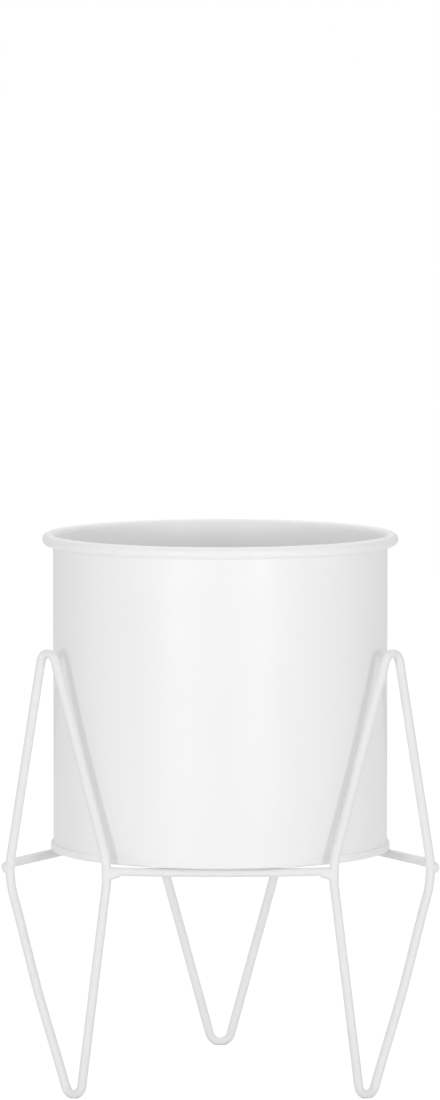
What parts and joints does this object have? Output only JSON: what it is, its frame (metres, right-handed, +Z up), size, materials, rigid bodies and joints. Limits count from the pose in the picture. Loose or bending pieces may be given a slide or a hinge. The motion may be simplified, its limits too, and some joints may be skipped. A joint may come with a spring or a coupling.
{
  "type": "plant stand",
  "caption": "White wire plant stand with diamond-loop legs welded to straight bars, carrying a lift-out sheet-metal pot with a rolled rim.",
  "frame": {"origin": "on the floor, under the pot's axis", "axes": "+Z up along the pot's axis, the front bar and the two front legs towards -Y, the single back leg towards +Y"},
  "size_m": [0.2584, 0.2401, 0.3287],
  "materials": {
    "stand_coat": "satin white powder coat on steel wire",
    "pot_coat": "satin white powder coat on sheet steel"
  },
  "bodies": {
    "stand": {"front_left_leg": "stand_coat", "front_right_leg": "stand_coat", "back_leg": "stand_coat", "front_bar": "stand_coat", "left_bar": "stand_coat", "right_bar": "stand_coat", "weld_beads": "stand_coat"},
    "pot": {"pot_wall": "pot_coat", "pot_base": "pot_coat"}
  },
  "joints": [
    {"name": "pot_lift", "type": "slide", "parent": "stand", "child": "pot", "axis": [0, 0, 1], "range_m": [0, 0.15]}
  ]
}
